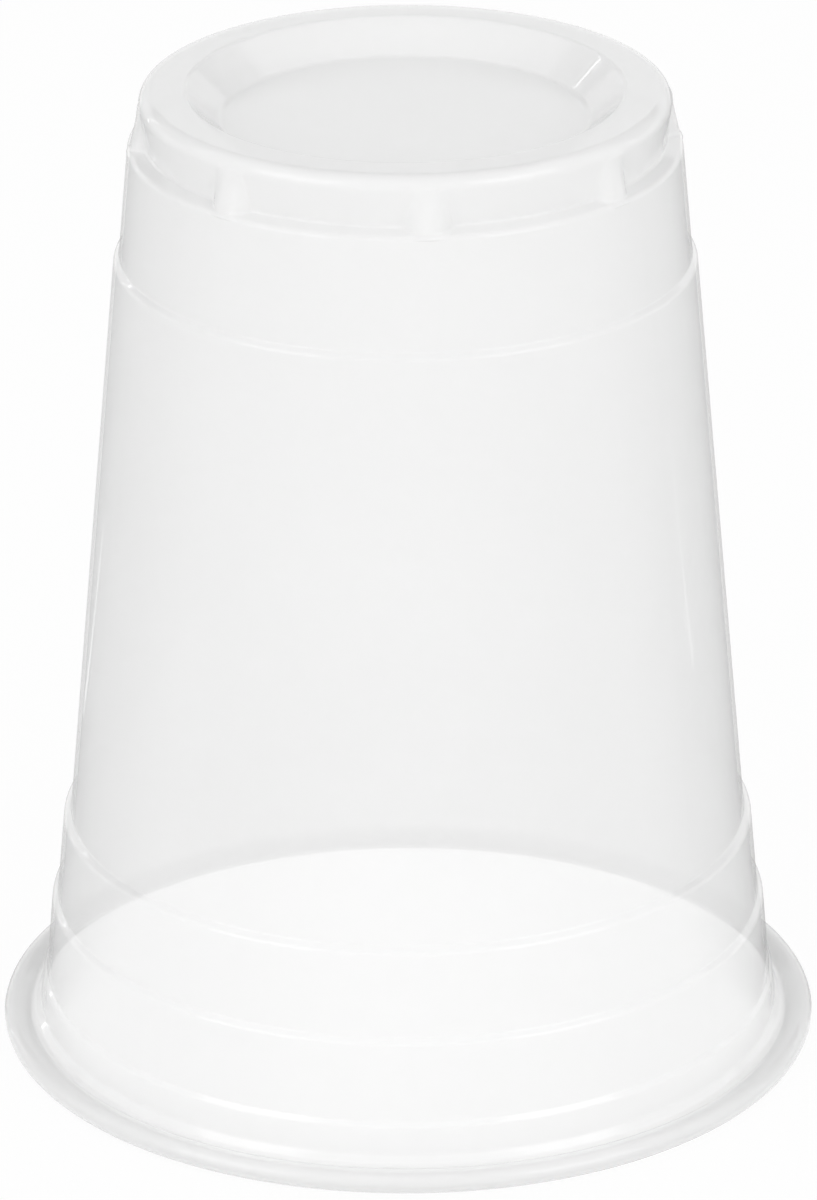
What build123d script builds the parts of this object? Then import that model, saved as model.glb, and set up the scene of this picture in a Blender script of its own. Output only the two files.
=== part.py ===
from build123d import *
from math import asin, atan2, cos, degrees, hypot, radians, sin, sqrt
import os

# Plastic party cup of the 16 fl oz class, formed from one sheet, upside down on its rim.
# Millimetres, +Z up along the cup's axis towards its base, origin at the centre of the rim's resting plane.
# Both skins of the sheet are drawn from the same corners, a wall apart, and turned round the axis.
# The stacking lugs are then raised on the heel, with the same wall, so they are hollow from inside.

# Whole cup
rim_diameter = 98.0
foot_diameter = 62.2
cup_height = 118.8
wall = 0.45

# Base: a flat foot ring round a sunk panel
foot_ring_width = 5.6
recess_depth = 3.7
recess_run = 4.1
panel_bend = 1.2
recess_bend = 0.8
foot_bend = 1.6

# Heel between the foot ring and the shoulder: it is undercut, and its stacking lugs bridge the undercut
heel_height = 6.35
heel_undercut = 0.8
shoulder_step = 1.93
lug_count = 8
lug_turn = 4.8
lug_crest_width = 3.0
lug_crest_bend = 0.6
lug_root_flank = 1.65
lug_root_sink = 0.3
lug_setback = 0.05
lug_top_flank = 0.5
lug_top_depth = 0.5
lug_top_sink = 0.34
lug_top_share = 0.7
lug_mitre_share = 0.36

# Stepped wall: the height of each band, and the step at its ledge
collar_band = 14.0
collar_step = 0.63
lower_band = 10.9
grip_step = 0.86
skirt_band = 10.05
lower_step = 0.67
skirt_height = 6.8
skirt_step = 0.46
ledge_rise = 0.6
ledge_inner_bend = 0.4
ledge_outer_bend = 0.8

# Rim: the sheet flares out below the neck, curls round and up, and comes back almost to the flare
rim_overhang = 4.53
flare_height = 3.15
flare_bend = 0.8
curl_radius = 1.3
curl_land = 0.7
curl_top_radius = 3.6
curl_gap = 0.15

# Levels of the panel and of the ledges
panel_z = cup_height - recess_depth
shoulder_z = cup_height - heel_height
collar_z = shoulder_z - collar_band
skirt_z = skirt_height
lower_z = skirt_z + skirt_band
grip_z = lower_z + lower_band

# Radii, and the taper that leads the wall from the shoulder's edge to the neck
rim_radius = rim_diameter / 2
foot_radius = foot_diameter / 2
recess_radius = foot_radius - foot_ring_width
panel_radius = recess_radius - recess_run
heel_radius = foot_radius - heel_undercut
shoulder_radius = heel_radius + shoulder_step
neck_radius = rim_radius - rim_overhang
curl_inside_radius = curl_radius - wall
ledges = [(collar_z, collar_step), (grip_z, grip_step), (lower_z, lower_step), (skirt_z, skirt_step)]
shoulder_edge_z = shoulder_z - ledge_rise / 2
tapered_height = shoulder_edge_z - flare_height - ledge_rise * len(ledges)
taper = (neck_radius - shoulder_radius - sum(step for _, step in ledges)) / tapered_height

# The front of the cup faces -Y, and the first lug stands a little to the right of it
first_lug_angle = lug_turn - 90


def base_corners():
    """Corners of the sheet's outside with their bends, from the panel's centre to the shoulder's edge."""
    return [
        ((0, panel_z), 0),
        ((panel_radius, panel_z), panel_bend),
        ((recess_radius, cup_height), recess_bend),
        ((foot_radius, cup_height), foot_bend),
        ((heel_radius, shoulder_z + ledge_rise / 2), ledge_inner_bend),
        ((shoulder_radius, shoulder_edge_z), ledge_outer_bend),
    ]


def wall_corners():
    """Corners of the stepped wall with their bends, from the collar's ledge to the neck."""
    corners = []
    radius = shoulder_radius
    edge_z = shoulder_edge_z
    for level, step in ledges:
        radius += taper * (edge_z - level - ledge_rise / 2)
        corners.append(((radius, level + ledge_rise / 2), ledge_inner_bend))
        radius += step
        edge_z = level - ledge_rise / 2
        corners.append(((radius, edge_z), ledge_outer_bend))
    corners.append(((neck_radius, flare_height), flare_bend))
    return corners


def flare_end():
    """Where the straight flare from the neck meets the curl's inside, and its heading in degrees."""
    across = rim_radius - curl_radius - curl_land - neck_radius
    rise = curl_radius - flare_height
    reach = hypot(across, rise)
    length = sqrt(reach**2 - curl_inside_radius**2)
    heading = atan2(rise, across) - asin(curl_inside_radius / reach)
    return (neck_radius + length * cos(heading), flare_height + length * sin(heading)), degrees(heading)


def curl_top_turn():
    """Angle in degrees that the curl's top turns down by before its free end is a gap from the flare."""
    tilt = radians(90 + flare_end()[1])
    across = rim_radius - curl_radius - neck_radius
    rise = 2 * curl_radius - curl_top_radius - flare_height
    centre_to_flare = across * cos(tilt) + rise * sin(tilt)
    return degrees(tilt - asin((curl_gap - centre_to_flare) / (curl_top_radius - wall)))


def inset(corners, depth):
    """Corners of the line that runs inside the given one at a depth, with their bends to match."""
    points = [Vector(*point) for point, _ in corners]
    runs = [(after - before).normalized() for before, after in zip(points, points[1:])]
    inwards = [Vector(run.Y, -run.X) for run in runs]
    moved = [(points[0] + inwards[0] * depth, 0)]
    for index, (point, (_, bend)) in enumerate(zip(points[1:-1], corners[1:-1])):
        before, after = inwards[index : index + 2]
        mitre = (before + after) / (1 + before.dot(after))
        turns_outwards = runs[index].cross(runs[index + 1]).Z > 0
        moved.append((point + mitre * depth, bend + depth if turns_outwards else bend - depth))
    moved.append((points[-1] + inwards[-1] * depth, 0))
    return moved


def bent_line(corners):
    """A line through corners, rounded by their bends."""
    return FilletPolyline(*[point for point, _ in corners], radius=[bend for _, bend in corners[1:-1]])


def skin_line(depth):
    """The sheet's line at a depth under its outside, from the panel's centre to the curl's free end."""
    meeting, heading = flare_end()
    run = bent_line(inset(base_corners() + wall_corners() + [(meeting, 0)], depth))
    towards = (cos(radians(heading)), sin(radians(heading)))
    turn_under = JernArc(run @ 1, towards, curl_inside_radius + depth, -heading)
    land = Line(turn_under @ 1, turn_under @ 1 + Vector(curl_land, 0))
    turn_over = JernArc(land @ 1, (1, 0), curl_inside_radius + depth, 180)
    top = JernArc(turn_over @ 1, (-1, 0), curl_top_radius - wall + depth, curl_top_turn())
    return Wire(run.edges() + turn_under.edges() + land.edges() + turn_over.edges() + top.edges())


def turned(section):
    """A section drawn as radius and height, turned once round the axis from midway between two lugs."""
    return Rot(Z=first_lug_angle + 180 / lug_count) * revolve(Plane.XZ * section, Axis.Z)


def sheet():
    """The whole sheet as a turned wall, before the lugs are raised on it."""
    outside = skin_line(0)
    inside = skin_line(wall)
    middle = Line(outside @ 0, inside @ 0)
    free_end = Line(outside @ 1, inside @ 1)
    return turned(make_face(outside.edges() + inside.edges() + middle.edges() + free_end.edges()))


def heel_core():
    """Space within the middle of the sheet, from the panel down to the collar's ledge."""
    corners = inset(base_corners() + wall_corners()[:1], wall / 2)
    start = corners[0][0]
    end = corners[-1][0]
    closing = Polyline(end, (0, end.Y), start)
    return turned(make_face(bent_line(corners).edges() + closing.edges()))


def lug_plan(level, root_radius, crest_radius, flank, skin):
    """Plan of a lug at one level: its crest in front, a flank on each side, and a tail into the cup."""
    crest = lug_crest_width / 2 - skin * lug_mitre_share
    half = [
        (root_radius - shoulder_step - skin, crest + flank),
        (root_radius - skin, crest + flank),
        (crest_radius - skin, crest),
    ]
    mirrored = [(radius, -across) for radius, across in reversed(half)]
    return Plane.XY.offset(level) * make_face(Polyline(*half, *mirrored, close=True).edges())


def lug(skin, foot_drop):
    """A tapered lug on the +X side, set inside its outside face by the skin."""
    foot_level = shoulder_edge_z - foot_drop
    top_level = cup_height - foot_bend * lug_top_share - skin
    top_radius = foot_radius - lug_top_sink
    crest_radius = shoulder_radius - lug_setback
    foot = lug_plan(foot_level, heel_radius - lug_root_sink, crest_radius, lug_root_flank, skin)
    top = lug_plan(top_level, top_radius - lug_top_depth, top_radius, lug_top_flank, skin)
    return loft([foot, top])


def ring(piece):
    """A lug repeated round the heel."""
    return PolarLocations(0, lug_count, start_angle=first_lug_angle) * piece


def raised_lugs():
    """The lugs as solids outside the middle of the sheet, with their crests rounded."""
    wedge = lug(0, wall)
    crest = wedge.faces().sort_by(Axis.X)[-1]
    wedge = fillet(crest.edges().filter_by(Plane.XY, reverse=True), lug_crest_bend)
    return ring(wedge - heel_core())


def hollows():
    """The space inside the lugs, open to the cup."""
    return ring(lug(wall, 2 * wall))


def make_cup():
    """The sheet with its lugs raised and hollowed."""
    return sheet() + raised_lugs() - hollows()


cup = make_cup()
os.makedirs("parts", exist_ok=True)
export_step(cup, "parts/cup.step")
print("cup", len(cup.solids()), "solid", round(cup.volume), "mm3")
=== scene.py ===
"""Dresses the plastic party cup: a fine mesh of the formed sheet, its plastic, and a white studio."""

import logging
import math
from dataclasses import dataclass, field
from enum import Enum

import bpy
from mathutils import Matrix, Vector


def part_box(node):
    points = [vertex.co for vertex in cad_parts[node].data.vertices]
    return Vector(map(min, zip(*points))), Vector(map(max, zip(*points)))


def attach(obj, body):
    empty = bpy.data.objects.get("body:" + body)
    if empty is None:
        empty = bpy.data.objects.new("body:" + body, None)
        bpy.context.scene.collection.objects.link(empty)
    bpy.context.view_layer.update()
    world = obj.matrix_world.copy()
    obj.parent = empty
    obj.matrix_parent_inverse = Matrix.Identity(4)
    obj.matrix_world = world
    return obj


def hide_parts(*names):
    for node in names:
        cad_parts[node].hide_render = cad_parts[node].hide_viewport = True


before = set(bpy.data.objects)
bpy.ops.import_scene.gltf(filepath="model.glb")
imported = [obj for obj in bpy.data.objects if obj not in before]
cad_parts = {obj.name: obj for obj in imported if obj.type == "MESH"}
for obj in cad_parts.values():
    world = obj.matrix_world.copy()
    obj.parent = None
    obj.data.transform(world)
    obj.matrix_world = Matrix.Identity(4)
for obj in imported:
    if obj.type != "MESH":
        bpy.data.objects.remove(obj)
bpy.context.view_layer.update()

LOG = logging.getLogger("cup_scene")
MM = 0.001

Colour = tuple[float, float, float]
Place = tuple[float, float, float]
Tree = bpy.types.NodeTree
Socket = bpy.types.NodeSocket


class Part(Enum):
    """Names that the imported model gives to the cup's node, its body and its finish."""

    NODE = "cup"
    BODY = "root"
    SLOT = "milky_plastic"


class Skin(Enum):
    """The two faces of the sheet."""

    OUTSIDE = "outside"
    INSIDE = "inside"


def soft_max(value: float, blend: float) -> float:
    """Larger of a value and zero, with the corner between them rounded.

    Args:
        value: Any length.
        blend: Length over which the corner is rounded, on either side of zero.

    Returns:
        The rounded result, never below zero.
    """
    near = max(blend - abs(value), 0.0) / blend
    return max(value, 0.0) + near * near * blend / 4


def ease(share: float) -> float:
    """Smooth ramp from 0 to 1 as a share goes from 0 to 1."""
    held = min(max(share, 0.0), 1.0)
    return held * held * (3 - 2 * held)


def mix(low: float, high: float, share: float) -> float:
    """Value at a share of the way from low to high."""
    return low + (high - low) * share


def sum_node(tree: Tree, operation: str, first: Socket, second: Socket | float | None = None) -> Socket:
    """Adds a sum to a node tree.

    Args:
        tree: Node tree of a material or of the world.
        operation: Blender's name of the operation.
        first: Socket that gives the first value.
        second: Socket or number for the second value, where the operation takes one.

    Returns:
        The result as a socket.
    """
    node = tree.nodes.new("ShaderNodeMath")
    node.operation = operation
    tree.links.new(first, node.inputs[0])
    if isinstance(second, float):
        node.inputs[1].default_value = second
    elif second is not None:
        tree.links.new(second, node.inputs[1])
    return node.outputs["Value"]


def ramp_node(tree: Tree, value: Socket, low: float, high: float) -> bpy.types.Node:
    """Adds a ramp from low to high to a node tree.

    Args:
        tree: Node tree of a material or of the world.
        value: Socket that runs from 0 to 1.
        low: Result at 0.
        high: Result at 1.

    Returns:
        The ramp's node.
    """
    node = tree.nodes.new("ShaderNodeMapRange")
    node.inputs["To Min"].default_value = low
    node.inputs["To Max"].default_value = high
    tree.links.new(value, node.inputs["Value"])
    return node


@dataclass(frozen=True)
class Corner:
    """A corner of the sheet's outside line before it is bent, in millimetres."""

    radius: float
    level: float
    bend: float = 0.0

    def towards(self, other: "Corner") -> tuple[float, float]:
        """Heading from this corner to another, in radians, and the distance between them."""
        across = other.radius - self.radius
        rise = other.level - self.level
        return math.atan2(rise, across), math.hypot(across, rise)


@dataclass(frozen=True)
class Station:
    """A point of the sheet's outside line with the line's heading there.

    The outside lies to the left of the heading.
    """

    radius: float
    level: float
    heading: float

    def along(self, length: float) -> tuple[float, float]:
        """Distance from the axis and level of the point at a length straight on."""
        return self.radius + length * math.cos(self.heading), self.level + length * math.sin(self.heading)

    def under(self, depth: float) -> tuple[float, float]:
        """Distance from the axis and level of the point at a depth under the outside."""
        radius = self.radius + depth * math.sin(self.heading)
        return radius, self.level - depth * math.cos(self.heading)


@dataclass
class SheetLine:
    """The outside of the formed sheet as one line, from the panel's middle to the curled rim.

    Lengths are millimetres, and levels count up from the plane that the rim rests on.
    """

    rim_radius: float
    height: float
    wall: float = 0.45
    foot_radius: float = 31.1
    foot_ring_width: float = 5.6
    foot_bend: float = 1.6
    recess_depth: float = 3.7
    recess_run: float = 4.1
    recess_bend: float = 0.8
    panel_bend: float = 1.2
    heel_height: float = 6.35
    heel_undercut: float = 0.8
    shoulder_step: float = 1.93
    collar_band: float = 14.0
    collar_step: float = 0.63
    lower_band: float = 10.9
    grip_step: float = 0.86
    skirt_band: float = 10.05
    lower_step: float = 0.67
    skirt_height: float = 6.8
    skirt_step: float = 0.46
    ledge_rise: float = 0.6
    ledge_inner_bend: float = 0.4
    ledge_outer_bend: float = 0.8
    rim_overhang: float = 4.53
    flare_height: float = 3.15
    flare_bend: float = 0.8
    curl_radius: float = 1.3
    curl_land: float = 0.7
    curl_top_radius: float = 3.6
    crease_bend: float = 0.8
    outside_step_deg: float = 5.5
    inside_step_deg: float = 13.0
    hold: float = 0.25
    longest_run: float = 9.0
    longest_heel_run: float = 0.7

    @property
    def heel_radius(self) -> float:
        """Radius of the heel where it meets the shoulder's ledge."""
        return self.foot_radius - self.heel_undercut

    @property
    def shoulder_radius(self) -> float:
        """Radius of the shoulder's outer edge."""
        return self.heel_radius + self.shoulder_step

    @property
    def shoulder_edge(self) -> float:
        """Level of the shoulder's outer edge."""
        return self.height - self.heel_height - self.ledge_rise / 2

    def ledges(self) -> list[tuple[float, float]]:
        """Level and step of each ledge below the shoulder, from the top down."""
        skirt = self.skirt_height
        lower = skirt + self.skirt_band
        grip = lower + self.lower_band
        collar = self.height - self.heel_height - self.collar_band
        levels = [collar, grip, lower, skirt]
        return list(zip(levels, [self.collar_step, self.grip_step, self.lower_step, self.skirt_step]))

    def corners(self) -> list[Corner]:
        """Corners from the panel's middle to the neck above the rim.

        Returns:
            The corners in order, each with its bend.
        """
        recess = self.foot_radius - self.foot_ring_width
        panel_level = self.height - self.recess_depth
        half_rise = self.ledge_rise / 2
        found = [
            Corner(0.0, panel_level),
            Corner(recess - self.recess_run, panel_level, self.panel_bend),
            Corner(recess, self.height, self.recess_bend),
            Corner(self.foot_radius, self.height, self.foot_bend),
            Corner(self.heel_radius, self.shoulder_edge + self.ledge_rise, self.ledge_inner_bend),
            Corner(self.shoulder_radius, self.shoulder_edge, self.ledge_outer_bend),
        ]
        ledges = self.ledges()
        neck = self.rim_radius - self.rim_overhang
        tapered = self.shoulder_edge - self.flare_height - self.ledge_rise * len(ledges)
        taper = (neck - self.shoulder_radius - sum(step for _, step in ledges)) / tapered
        radius, level = self.shoulder_radius, self.shoulder_edge
        for ledge, step in ledges:
            radius += taper * (level - ledge - half_rise)
            found.append(Corner(radius, ledge + half_rise, self.ledge_inner_bend))
            radius += step
            level = ledge - half_rise
            found.append(Corner(radius, level, self.ledge_outer_bend))
        found.append(Corner(neck, self.flare_height, self.flare_bend))
        return found

    def arc(self, start: Station, bend: float, turn: float, step_deg: float) -> list[Station]:
        """Stations along an arc.

        Args:
            start: Station where the arc begins.
            bend: Radius of the arc.
            turn: Angle that the line turns by, in radians, positive to the left.
            step_deg: Most that the line turns by between two stations, in degrees.

        Returns:
            The stations after the start, the arc's end included.
        """
        side = math.copysign(bend, turn)
        across, rise = math.cos(start.heading), math.sin(start.heading)
        centre = (start.radius - side * rise, start.level + side * across)
        count = max(3, math.ceil(abs(math.degrees(turn)) / step_deg))
        found = []
        for index in range(1, count + 1):
            heading = start.heading + turn * index / count
            radius = centre[0] + side * math.sin(heading)
            level = centre[1] - side * math.cos(heading)
            found.append(Station(radius, level, heading))
        return found

    def run(self, start: Station, length: float) -> list[Station]:
        """Stations along a straight run, held close to both ends so that the bends keep their shading.

        Args:
            start: Station where the run begins.
            length: Length of the run.

        Returns:
            The stations after the start, the run's end included.
        """
        hold = min(self.hold, length / 3)
        middle = length - 2 * hold
        on_heel = start.radius > self.foot_radius - self.foot_bend and start.level > self.shoulder_edge
        parts = max(1, math.ceil(middle / (self.longest_heel_run if on_heel else self.longest_run)))
        along = [hold + middle * index / parts for index in range(parts + 1)] + [length]
        return [Station(*start.along(length), start.heading) for length in along]

    def flare(self) -> tuple[float, float]:
        """Heading of the straight flare below the neck, in radians, and its length up to the curl."""
        inside = self.curl_radius - self.wall
        across = self.rim_overhang - self.curl_radius - self.curl_land
        rise = self.curl_radius - self.flare_height
        reach = math.hypot(across, rise)
        return math.atan2(rise, across) - math.asin(inside / reach), math.sqrt(reach**2 - inside**2)

    def meeting(self, reach: float, away: float) -> tuple[float, float]:
        """Point at a distance from the flare on a circle about the middle of the curl's top.

        Args:
            reach: Radius of the circle.
            away: Distance of the point from the flare's outside.

        Returns:
            The point's distance along the flare from the neck, and the circle's slope there in radians.
        """
        heading = self.flare()[0]
        across = self.rim_overhang - self.curl_radius
        rise = 2 * self.curl_radius - self.curl_top_radius - self.flare_height
        tilt = math.pi / 2 + heading
        to_flare = across * math.cos(tilt) + rise * math.sin(tilt)
        slope = tilt - math.asin((away - to_flare) / reach)
        across -= reach * math.sin(slope)
        rise += reach * math.cos(slope)
        return across * math.cos(heading) + rise * math.sin(heading), slope

    def wall_stations(self, flare_length: float, step_deg: float) -> list[Station]:
        """Stations from the panel's middle down the wall and along the flare.

        Args:
            flare_length: Length of the flare to follow, from the neck.
            step_deg: Most that the line turns by between two stations, in degrees.

        Returns:
            The stations in order, close together where the line bends.
        """
        corners = self.corners()
        legs = [corner.towards(after) for corner, after in zip(corners, corners[1:])]
        legs.append((self.flare()[0], flare_length))
        found = [Station(corners[0].radius, corners[0].level, legs[0][0])]
        trimmed = 0.0
        for corner, (heading, length), (next_heading, _) in zip(corners[1:], legs, legs[1:]):
            turn = next_heading - heading
            trim = corner.bend * math.tan(abs(turn) / 2)
            found += self.run(found[-1], length - trimmed - trim)
            found += self.arc(found[-1], corner.bend, turn, step_deg)
            trimmed = trim
        return found + self.run(found[-1], flare_length - trimmed)

    def outside(self) -> list[Station]:
        """Stations of the outside, from the panel's middle over the curl to its resting plane."""
        length, slope = self.meeting(self.curl_top_radius + self.crease_bend, self.crease_bend)
        step_deg = self.outside_step_deg
        found = self.wall_stations(length, step_deg)
        found += self.arc(found[-1], self.crease_bend, slope - found[-1].heading, step_deg)
        found += self.arc(found[-1], self.curl_top_radius, -slope, step_deg)
        return found + self.arc(found[-1], self.curl_radius, -math.pi, step_deg)

    def inside(self) -> list[Station]:
        """Stations over the inside, from the panel's middle to the end of the curl's land."""
        heading, length = self.flare()
        found = self.wall_stations(length, self.inside_step_deg)
        found += self.arc(found[-1], self.curl_radius - self.wall, -heading, self.inside_step_deg)
        return found + self.run(found[-1], self.curl_land)

    def hollow(self) -> list[Station]:
        """Stations round the hollow of the curl, from where its top meets the flare.

        Returns:
            The stations in order, with the loop's end left to its first station.
        """
        heading, length = self.flare()
        start, slope = self.meeting(self.curl_top_radius - self.wall, 0.0)
        bend, step_deg = self.curl_radius - self.wall, self.inside_step_deg
        neck = Station(self.rim_radius - self.rim_overhang, self.flare_height, heading)
        found = [Station(*neck.along(start), heading)]
        found += self.run(found[-1], length - start)
        found += self.arc(found[-1], bend, -heading, step_deg)
        found += self.run(found[-1], self.curl_land)
        found += self.arc(found[-1], bend, math.pi, step_deg)
        return found + self.arc(found[-1], self.curl_top_radius - self.wall, slope, step_deg)[:-1]


@dataclass
class StackingLugs:
    """Tapered lugs that bridge the undercut heel and keep stacked cups apart, in millimetres."""

    sheet: SheetLine
    count: int = 8
    turn_deg: float = 4.8
    crest_width: float = 3.0
    root_flank: float = 1.65
    root_sink: float = 0.3
    setback: float = 0.05
    top_flank: float = 0.5
    top_depth: float = 0.5
    top_sink: float = 0.34
    top_share: float = 0.7
    crest_blend: float = 1.2
    root_blend: float = 0.7
    fade: float = 0.5
    crest_columns: int = 3
    flank_columns: int = 6
    gap_columns: int = 6

    @property
    def top(self) -> float:
        """Level of a lug's top, in the foot's rounded edge."""
        return self.sheet.height - self.sheet.foot_bend * self.top_share

    def reach(self, level: float) -> float:
        """Share of the way down a lug at a level, 0 at its top and 1 at its foot."""
        foot = self.sheet.shoulder_edge - self.sheet.wall
        return min(max((self.top - level) / (self.top - foot), 0.0), 1.0)

    def crest_radius(self, reach: float) -> float:
        """Distance of a lug's crest from the axis at a share of the way down."""
        top = self.sheet.foot_radius - self.top_sink
        return mix(top, self.sheet.shoulder_radius - self.setback, reach)

    def flank(self, reach: float) -> tuple[float, float]:
        """Width and depth of a lug's flank at a share of the way down, from its crest to its root."""
        root_radius = self.sheet.heel_radius - self.root_sink
        foot_depth = self.sheet.shoulder_radius - self.setback - root_radius
        return mix(self.top_flank, self.root_flank, reach), mix(self.top_depth, foot_depth, reach)

    def columns(self, level: float) -> list[float]:
        """Angles of the mesh's columns about one lug's middle, in radians.

        Args:
            level: Level of the ring.

        Returns:
            The angles across one lug's sector, with the sector's end left to the next lug.
        """
        half_crest = self.crest_width / 2
        crest = math.asin(half_crest / self.sheet.heel_radius)
        root = math.asin((half_crest + self.flank(self.reach(level))[0]) / self.sheet.heel_radius)
        end = math.pi / self.count
        half = [crest * index / self.crest_columns for index in range(self.crest_columns)]
        half += [mix(crest, root, index / self.flank_columns) for index in range(self.flank_columns)]
        half += [mix(root, end, index / self.gap_columns) for index in range(self.gap_columns)]
        return [-end] + [-angle for angle in reversed(half[1:])] + half

    def rise(self, station: Station, angle: float) -> float:
        """Height of a lug over the plain heel.

        Args:
            station: Station of the sheet's outside line.
            angle: Angle from the lug's middle, in radians.

        Returns:
            How far the sheet is pushed out there, zero off the heel.
        """
        inner = self.sheet.foot_radius - self.sheet.foot_bend
        if not inner < station.radius < self.sheet.shoulder_radius or station.level >= self.top:
            return 0.0
        reach = self.reach(station.level)
        width, depth = self.flank(reach)
        beyond = soft_max(abs(station.radius * math.sin(angle)) - self.crest_width / 2, self.crest_blend)
        outline = self.crest_radius(reach) - depth * beyond / width
        height = outline / math.cos(angle) - station.radius
        return soft_max(height, self.root_blend) * ease((self.top - station.level) / self.fade)


@dataclass(frozen=True)
class MilkyPlastic:
    """See-through milky polypropylene, glossy, with faint clouds and draw marks down the wall."""

    name: str = "milky_plastic"
    clear_tint: Colour = (0.985, 0.985, 0.985)
    cloud_tint: Colour = (0.965, 0.965, 0.965)
    cloud_scale: float = 38.0
    draw_scale: float = 160.0
    draw_stretch: float = 0.06
    roughness_low: float = 0.02
    roughness_high: float = 0.045
    opacity: float = 0.49
    ior: float = 1.49
    skin_scale: float = 420.0
    skin_relief: float = 0.03
    skin_depth: float = 0.00005
    detail: float = 1.0

    def noise(self, tree: Tree, place: Socket, scale: float) -> Socket:
        """Adds a noise to a tree.

        Args:
            tree: Node tree of the material.
            place: Socket that gives the point.
            scale: Scale of the noise.

        Returns:
            The noise's value as a socket.
        """
        noise = tree.nodes.new("ShaderNodeTexNoise")
        noise.inputs["Scale"].default_value = scale
        noise.inputs["Detail"].default_value = self.detail
        tree.links.new(place, noise.inputs["Vector"])
        return noise.outputs["Fac"]

    def tint(self, tree: Tree, place: Socket) -> Socket:
        """Adds the clouds in the colour.

        Args:
            tree: Node tree of the material.
            place: Socket that gives the point.

        Returns:
            The colour as a socket.
        """
        tint = tree.nodes.new("ShaderNodeMix")
        tint.data_type = "RGBA"
        tint.inputs["A"].default_value = (*self.clear_tint, 1.0)
        tint.inputs["B"].default_value = (*self.cloud_tint, 1.0)
        tree.links.new(self.noise(tree, place, self.cloud_scale), tint.inputs["Factor"])
        return tint.outputs["Result"]

    def gloss(self, tree: Tree, place: Socket) -> Socket:
        """Adds the draw marks down the wall.

        Args:
            tree: Node tree of the material.
            place: Socket that gives the point.

        Returns:
            The roughness as a socket.
        """
        stretch = tree.nodes.new("ShaderNodeMapping")
        stretch.inputs["Scale"].default_value = (1.0, 1.0, self.draw_stretch)
        tree.links.new(place, stretch.inputs["Vector"])
        marks = self.noise(tree, stretch.outputs["Vector"], self.draw_scale)
        return ramp_node(tree, marks, self.roughness_low, self.roughness_high).outputs["Result"]

    def relief(self, tree: Tree, place: Socket) -> Socket:
        """Adds the faint waviness of the skin.

        Args:
            tree: Node tree of the material.
            place: Socket that gives the point.

        Returns:
            The normal as a socket.
        """
        relief = tree.nodes.new("ShaderNodeBump")
        relief.inputs["Strength"].default_value = self.skin_relief
        relief.inputs["Distance"].default_value = self.skin_depth
        tree.links.new(self.noise(tree, place, self.skin_scale), relief.inputs["Height"])
        return relief.outputs["Normal"]

    def material(self) -> bpy.types.Material:
        """Builds the material.

        Returns:
            A new material with one plastic shader.
        """
        made = bpy.data.materials.new(self.name)
        made.use_nodes = True
        tree = made.node_tree
        shader = tree.nodes["Principled BSDF"]
        place = tree.nodes.new("ShaderNodeTexCoord").outputs["Object"]
        tree.links.new(self.tint(tree, place), shader.inputs["Base Color"])
        tree.links.new(self.gloss(tree, place), shader.inputs["Roughness"])
        tree.links.new(self.relief(tree, place), shader.inputs["Normal"])
        shader.inputs["Alpha"].default_value = self.opacity
        shader.inputs["IOR"].default_value = self.ior
        return made


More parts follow.
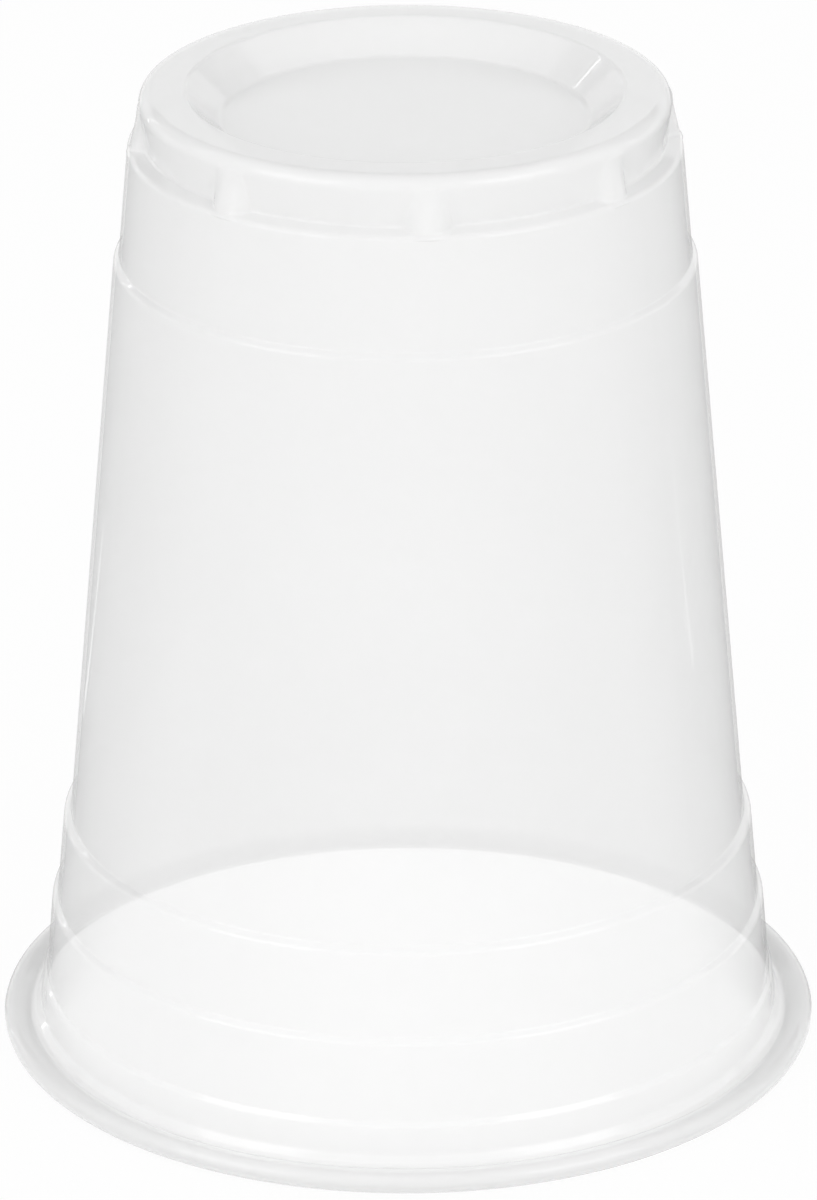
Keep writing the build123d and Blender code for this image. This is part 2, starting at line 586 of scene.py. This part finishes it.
@dataclass
class Cup:
    """The cup as one formed sheet with both its skins, meshed round the axis."""

    sheet: SheetLine
    lugs: StackingLugs
    finish: MilkyPlastic
    body: bpy.types.Object = field(init=False)

    def ring(self, station: Station, skin: Skin) -> list[Place]:
        """Points of one ring of the mesh.

        Args:
            station: Station of the sheet's outside line.
            skin: Face of the sheet that the ring lies on.

        Returns:
            The points round the axis, in metres.
        """
        depth = self.sheet.wall if skin is Skin.INSIDE else 0.0
        radius, level = station.under(depth)
        sector = [(angle, self.lugs.rise(station, angle)) for angle in self.lugs.columns(station.level)]
        points = []
        for lug in range(self.lugs.count):
            middle = math.radians(self.lugs.turn_deg - 90 + lug * 360 / self.lugs.count)
            for angle, rise in sector:
                reach = (radius + rise) * MM
                turn = middle + angle
                points.append((reach * math.cos(turn), reach * math.sin(turn), level * MM))
        return points

    def skin_faces(self, rows: list[int], columns: int) -> list[tuple[int, ...]]:
        """Faces between rings of the mesh.

        Args:
            rows: Numbers of the rings, in order.
            columns: Points of each ring.

        Returns:
            The faces as numbers of their points.
        """
        faces = []
        for low, high in zip(rows, rows[1:]):
            for column in range(columns):
                after = (column + 1) % columns
                here, there = low * columns, high * columns
                faces.append((here + column, there + column, there + after, here + after))
        return faces

    def build(self) -> None:
        """Makes the mesh: the outside over the curl to the land, the inside, and the curl's hollow."""
        outside, inside = self.sheet.outside(), self.sheet.inside()
        rings = [self.ring(station, Skin.OUTSIDE) for station in outside[1:]]
        rings += [self.ring(station, Skin.INSIDE) for station in reversed(inside[1:-1])]
        hollow = [self.ring(station, Skin.OUTSIDE) for station in self.sheet.hollow()]
        points = [point for ring in rings + hollow for point in ring]
        columns, sheet_rows, all_rows = len(rings[0]), len(rings), len(rings) + len(hollow)
        faces = self.skin_faces(list(range(sheet_rows)), columns)
        faces += self.skin_faces([*range(sheet_rows, all_rows), sheet_rows], columns)
        for skin, row, turn in ((Skin.OUTSIDE, 0, 1), (Skin.INSIDE, sheet_rows - 1, -1)):
            depth = self.sheet.wall if skin is Skin.INSIDE else 0.0
            pole, first = len(points), row * columns
            points.append((0.0, 0.0, outside[0].under(depth)[1] * MM))
            for column in range(columns):
                after = (column + 1) % columns
                faces.append((pole, first + column, first + after)[::turn])
        mesh = bpy.data.meshes.new("cup_body")
        mesh.from_pydata(points, [], faces)
        mesh.validate()
        mesh.shade_smooth()
        self.body = bpy.data.objects.new("cup_body", mesh)
        bpy.context.scene.collection.objects.link(self.body)

    def dress(self) -> None:
        """Gives the mesh its finish and puts it in the place of the cup's node."""
        self.body.data.materials.append(self.finish.material())
        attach(self.body, Part.BODY.value)
        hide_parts(Part.NODE.value)


@dataclass(frozen=True)
class BackgroundRays:
    """Light that the camera, gloss and clear plastic see as the white background."""

    def socket(self, tree: Tree) -> Socket:
        """Adds the nodes to a tree.

        Args:
            tree: Node tree of a material or of the world.

        Returns:
            A socket that is 1 for those rays and 0 for the rest.
        """
        path = tree.nodes.new("ShaderNodeLightPath")
        seen = sum_node(tree, "MAXIMUM", path.outputs["Is Camera Ray"], path.outputs["Is Glossy Ray"])
        return sum_node(tree, "MAXIMUM", seen, path.outputs["Is Transmission Ray"])


@dataclass(frozen=True)
class StudioWhite:
    """White floor paper that still takes a soft shadow."""

    name: str = "floor_paper"
    paper: Colour = (0.86, 0.86, 0.86)
    white_share: float = 0.95

    def material(self) -> bpy.types.Material:
        """Builds the material.

        Returns:
            A new material that shows as white paper with a light shadow.
        """
        made = bpy.data.materials.new(self.name)
        made.use_nodes = True
        tree = made.node_tree
        tree.nodes.clear()
        output = tree.nodes.new("ShaderNodeOutputMaterial")
        paper = tree.nodes.new("ShaderNodeBsdfDiffuse")
        paper.inputs["Color"].default_value = (*self.paper, 1.0)
        white = tree.nodes.new("ShaderNodeEmission")
        share = sum_node(tree, "MULTIPLY", BackgroundRays().socket(tree), self.white_share)
        blend = tree.nodes.new("ShaderNodeMixShader")
        tree.links.new(share, blend.inputs["Fac"])
        tree.links.new(paper.outputs["BSDF"], blend.inputs[1])
        tree.links.new(white.outputs["Emission"], blend.inputs[2])
        tree.links.new(blend.outputs["Shader"], output.inputs["Surface"])
        return made


@dataclass(frozen=True)
class CardFace:
    """Even brightness of a card, where 1 is the white of the background."""

    name: str
    level: float

    def material(self) -> bpy.types.Material:
        """Builds the material.

        Returns:
            A new material that glows at the card's level.
        """
        made = bpy.data.materials.new(self.name)
        made.use_nodes = True
        tree = made.node_tree
        tree.nodes.clear()
        output = tree.nodes.new("ShaderNodeOutputMaterial")
        glow = tree.nodes.new("ShaderNodeEmission")
        glow.inputs["Strength"].default_value = self.level
        tree.links.new(glow.outputs["Emission"], output.inputs["Surface"])
        return made


@dataclass(frozen=True)
class FanFace(CardFace):
    """Brightness of a floor flag: its own level behind the cup, fading to white towards the front.

    Angles are degrees round the flag's origin, from its local +X.
    """

    full_deg: float = 70.0
    clear_deg: float = 110.0

    def material(self) -> bpy.types.Material:
        """Builds the material.

        Returns:
            A new material that glows at the flag's level and fades to white.
        """
        made = super().material()
        tree = made.node_tree
        place = tree.nodes.new("ShaderNodeTexCoord")
        turn = tree.nodes.new("ShaderNodeTexGradient")
        turn.gradient_type = "RADIAL"
        tree.links.new(place.outputs["Object"], turn.inputs["Vector"])
        from_back = sum_node(tree, "SUBTRACT", turn.outputs["Fac"], 0.5)
        fade = ramp_node(tree, sum_node(tree, "ABSOLUTE", from_back), self.level, 1.0)
        fade.interpolation_type = "SMOOTHSTEP"
        fade.inputs["From Min"].default_value = self.full_deg / 360
        fade.inputs["From Max"].default_value = self.clear_deg / 360
        tree.links.new(fade.outputs["Result"], tree.nodes["Emission"].inputs["Strength"])
        return made


@dataclass(frozen=True)
class Lamp:
    """A soft box aimed at a point, in metres and watts."""

    name: str
    place: Place
    aim: Place
    width: float
    height: float
    power: float

    def build(self) -> None:
        """Adds the lamp to the scene."""
        light = bpy.data.lights.new(self.name, "AREA")
        light.shape = "RECTANGLE"
        light.size = self.width
        light.size_y = self.height
        light.energy = self.power
        lamp = bpy.data.objects.new(self.name, light)
        lamp.location = self.place
        lamp.rotation_euler = (Vector(self.aim) - Vector(self.place)).to_track_quat("-Z", "Y").to_euler()
        lamp.visible_camera = False
        bpy.context.scene.collection.objects.link(lamp)


@dataclass(frozen=True)
class Card:
    """A flat card that only the cup's gloss sees: its corners in metres, its place and its turn."""

    face: CardFace
    corners: tuple[Place, ...]
    place: Place = (0.0, 0.0, 0.0)
    turn_deg: float = 0.0

    def build(self) -> None:
        """Adds the card to the scene."""
        mesh = bpy.data.meshes.new(self.face.name)
        mesh.from_pydata(self.corners, [], [tuple(range(len(self.corners)))])
        card = bpy.data.objects.new(self.face.name, mesh)
        card.location = self.place
        card.rotation_euler.z = math.radians(self.turn_deg)
        card.data.materials.append(self.face.material())
        card.visible_camera = False
        card.visible_diffuse = False
        card.visible_transmission = False
        card.visible_shadow = False
        bpy.context.scene.collection.objects.link(card)


@dataclass
class Studio:
    """White floor, soft light and the camera at the photograph's angle, in metres and degrees."""

    cup_height: float
    floor_half: float = 4.0
    floor_drop: float = 0.0001
    horizon_level: float = 0.9
    zenith_level: float = 0.71
    side_fall: float = 0.15
    box_across: float = 0.9
    box_front: float = 0.75
    box_level: float = 0.7
    box_width: float = 0.8
    box_height: float = 0.7
    box_power: float = 4.3
    flag_left_level: float = 0.36
    flag_right_level: float = 0.22
    flag_across: float = 0.04
    flag_reach: float = 0.8
    flag_full_deg: float = 70.0
    flag_clear_deg: float = 110.0
    back_flag_half: float = 2.0
    back_flag_back: float = 1.0
    back_flag_low: float = 0.53
    back_flag_high: float = 1.8
    back_flag_level: float = 0.1
    strip_distance: float = 1.0
    strip_width: float = 0.018
    strip_low: float = 0.0
    strip_high: float = 0.8
    strip_left_deg: float = -138.0
    strip_right_deg: float = 111.0
    strip_left_level: float = 6.0
    strip_right_level: float = 3.0
    line_width: float = 0.004
    line_level: float = 1.6
    line_left_near: float = 0.12
    line_left_far: float = 0.205
    line_right_near: float = 0.18
    line_right_far: float = 0.3
    image_height_px: float = 1200.0
    focal_px: float = 7724.6
    sensor_mm: float = 36.0
    camera_distance: float = 0.9184
    camera_elevation_deg: float = 23.14
    camera_roll_deg: float = 0.191
    aim_level: float = 0.0543
    aim_right: float = 0.0002

    def floor(self) -> None:
        """Lays the white floor just under the rim."""
        half, level = self.floor_half, -self.floor_drop
        points = [(-half, -half, level), (half, -half, level), (half, half, level), (-half, half, level)]
        mesh = bpy.data.meshes.new("floor")
        mesh.from_pydata(points, [], [(0, 1, 2, 3)])
        ground = bpy.data.objects.new("floor", mesh)
        ground.data.materials.append(StudioWhite().material())
        bpy.context.scene.collection.objects.link(ground)

    def light_level(self, tree: Tree) -> Socket:
        """Adds the level of the light round the cup, which falls off overhead and to the sides.

        Args:
            tree: Node tree of the world.

        Returns:
            The level as a socket.
        """
        direction = tree.nodes.new("ShaderNodeTexCoord")
        parts = tree.nodes.new("ShaderNodeSeparateXYZ")
        tree.links.new(direction.outputs["Generated"], parts.inputs["Vector"])
        height = ramp_node(tree, parts.outputs["Z"], self.horizon_level, self.zenith_level)
        aside = sum_node(tree, "MULTIPLY", parts.outputs["X"], parts.outputs["X"])
        fall = ramp_node(tree, aside, 1.0, 1.0 - self.side_fall)
        return sum_node(tree, "MULTIPLY", height.outputs["Result"], fall.outputs["Result"])

    def world(self) -> None:
        """Surrounds the cup with soft light and a white background."""
        made = bpy.data.worlds.new("studio")
        made.use_nodes = True
        tree = made.node_tree
        tree.nodes.clear()
        output = tree.nodes.new("ShaderNodeOutputWorld")
        surround = tree.nodes.new("ShaderNodeBackground")
        white = tree.nodes.new("ShaderNodeBackground")
        for shade in (surround, white):
            shade.inputs["Color"].default_value = (1.0, 1.0, 1.0, 1.0)
        tree.links.new(self.light_level(tree), surround.inputs["Strength"])
        blend = tree.nodes.new("ShaderNodeMixShader")
        tree.links.new(BackgroundRays().socket(tree), blend.inputs["Fac"])
        tree.links.new(surround.outputs["Background"], blend.inputs[1])
        tree.links.new(white.outputs["Background"], blend.inputs[2])
        tree.links.new(blend.outputs["Shader"], output.inputs["Surface"])
        bpy.context.scene.world = made

    def lights(self) -> None:
        """Sets the soft boxes in front of the cup."""
        aim = (0.0, 0.0, self.cup_height / 2)
        for side, name in ((-1, "left"), (1, "right")):
            place = (side * self.box_across, -self.box_front, self.box_level)
            Lamp(f"soft_box_{name}", place, aim, self.box_width, self.box_height, self.box_power).build()

    def edge_flag(self, name: str, side: int, level: float) -> Card:
        """A flag on the floor that darkens one edge of the cup.

        Args:
            name: Name of the card.
            side: 1 for the right of the cup and -1 for the left.
            level: Brightness of the flag behind the cup.

        Returns:
            The card, with its local +X towards the back.
        """
        reach = self.flag_reach
        corners = (
            (0.0, 0.0, 0.0),
            (reach, 0.0, 0.0),
            (reach, -side * reach, 0.0),
            (reach / math.tan(math.radians(self.flag_clear_deg)), -side * reach, 0.0),
        )
        face = FanFace(name, level, self.flag_full_deg, self.flag_clear_deg)
        return Card(face, corners, (side * self.flag_across, 0.0, self.floor_drop), 90.0)

    def back_flag(self) -> Card:
        """The dark card high behind the cup."""
        half = self.back_flag_half
        corners = (
            (-half, self.back_flag_back, self.back_flag_low),
            (half, self.back_flag_back, self.back_flag_low),
            (half, self.back_flag_back, self.back_flag_high),
            (-half, self.back_flag_back, self.back_flag_high),
        )
        return Card(CardFace("back_flag", self.back_flag_level), corners)

    def strip(self, name: str, turn_deg: float, level: float) -> Card:
        """A narrow upright strip at an angle round the cup, counted from the front."""
        half, away = self.strip_width / 2, -self.strip_distance
        corners = (
            (-half, away, self.strip_low),
            (half, away, self.strip_low),
            (half, away, self.strip_high),
            (-half, away, self.strip_high),
        )
        return Card(CardFace(name, level), corners, turn_deg=turn_deg)

    def floor_line(self, name: str, turn_deg: float, near: float, far: float) -> Card:
        """A narrow bright line on the floor, leading away from the cup at an angle from the front."""
        half, level = self.line_width / 2, 2 * self.floor_drop
        corners = ((-half, -near, level), (-half, -far, level), (half, -far, level), (half, -near, level))
        return Card(CardFace(name, self.line_level), corners, turn_deg=turn_deg)

    def cards(self) -> None:
        """Sets the cards that the cup's gloss sees."""
        self.edge_flag("edge_flag_left", -1, self.flag_left_level).build()
        self.edge_flag("edge_flag_right", 1, self.flag_right_level).build()
        self.back_flag().build()
        left, right = self.strip_left_deg, self.strip_right_deg
        self.strip("strip_left", left, self.strip_left_level).build()
        self.strip("strip_right", right, self.strip_right_level).build()
        self.floor_line("line_left", left, self.line_left_near, self.line_left_far).build()
        self.floor_line("line_right", right, self.line_right_near, self.line_right_far).build()

    def camera(self) -> None:
        """Sets the camera at the photograph's angle and framing."""
        lens = bpy.data.cameras.new("camera")
        lens.sensor_width = self.sensor_mm
        lens.lens = self.focal_px * self.sensor_mm / self.image_height_px
        lens.clip_start = self.camera_distance / 100
        camera = bpy.data.objects.new("camera", lens)
        tilt = math.radians(self.camera_elevation_deg)
        back = Vector((0.0, -math.cos(tilt), math.sin(tilt)))
        aim = Vector((self.aim_right, 0.0, self.aim_level))
        facing = (-back).to_track_quat("-Z", "Y").to_matrix().to_4x4()
        roll = Matrix.Rotation(math.radians(-self.camera_roll_deg), 4, "Z")
        camera.matrix_world = Matrix.Translation(aim + back * self.camera_distance) @ facing @ roll
        bpy.context.scene.collection.objects.link(camera)
        bpy.context.scene.camera = camera

    def build(self) -> None:
        """Makes the whole studio."""
        self.floor()
        self.world()
        self.lights()
        self.cards()
        self.camera()
        bpy.context.scene.view_settings.view_transform = "Standard"


def main() -> None:
    """Builds and dresses the cup, then sets up the studio."""
    logging.basicConfig(level=logging.INFO, format="%(name)s: %(message)s")
    low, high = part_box(Part.NODE.value)
    sheet = SheetLine(rim_radius=(high.x - low.x) / 2 / MM, height=(high.z - low.z) / MM)
    cup = Cup(sheet, StackingLugs(sheet), MilkyPlastic())
    cup.build()
    cup.dress()
    LOG.info("%s: %d faces", cup.body.name, len(cup.body.data.polygons))
    Studio(cup_height=high.z - low.z).build()
    LOG.info("studio: camera, floor and lights in place")


if __name__ == "__main__":
    main()
